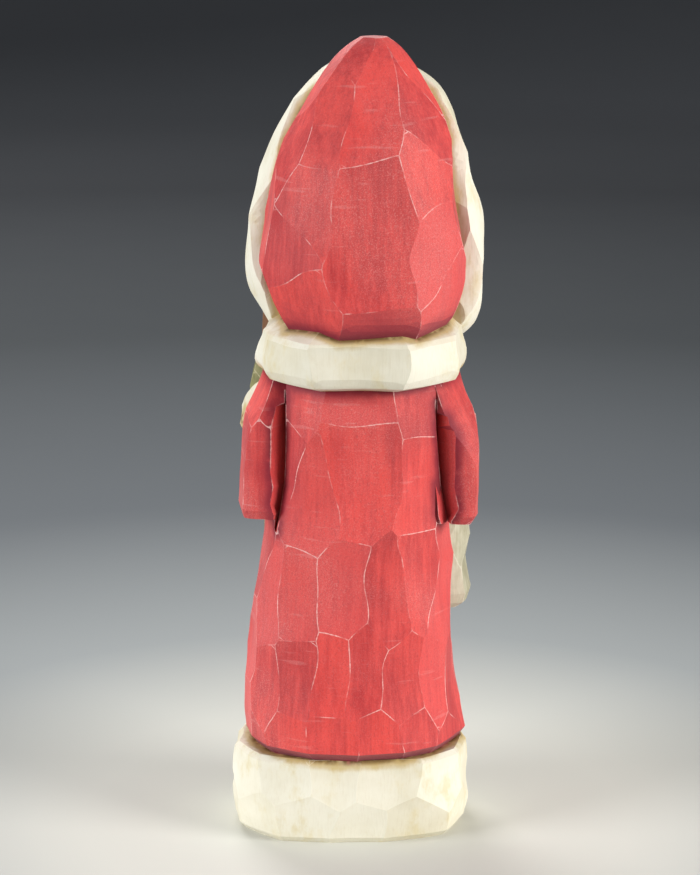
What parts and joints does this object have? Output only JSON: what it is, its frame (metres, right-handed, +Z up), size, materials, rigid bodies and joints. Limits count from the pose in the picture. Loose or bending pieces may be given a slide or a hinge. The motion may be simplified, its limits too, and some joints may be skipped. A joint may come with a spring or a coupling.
{
  "type": "carved santa figurine",
  "caption": "Knife-carved, painted wooden santa in a hooded fur-trimmed coat, standing on its flat foot with a staff and a small sack.",
  "frame": {"origin": "on the ground, under the middle of the figurine's box", "axes": "+Z up, -Y the way the figure looks, +X its left hand"},
  "size_m": [0.0637, 0.0533, 0.2],
  "materials": {
    "painted_wood": "thin matt acrylic paint over knife-cut basswood, rubbed on the ridges"
  },
  "bodies": {
    "root": {"santa_figurine": "painted_wood"}
  },
  "joints": []
}
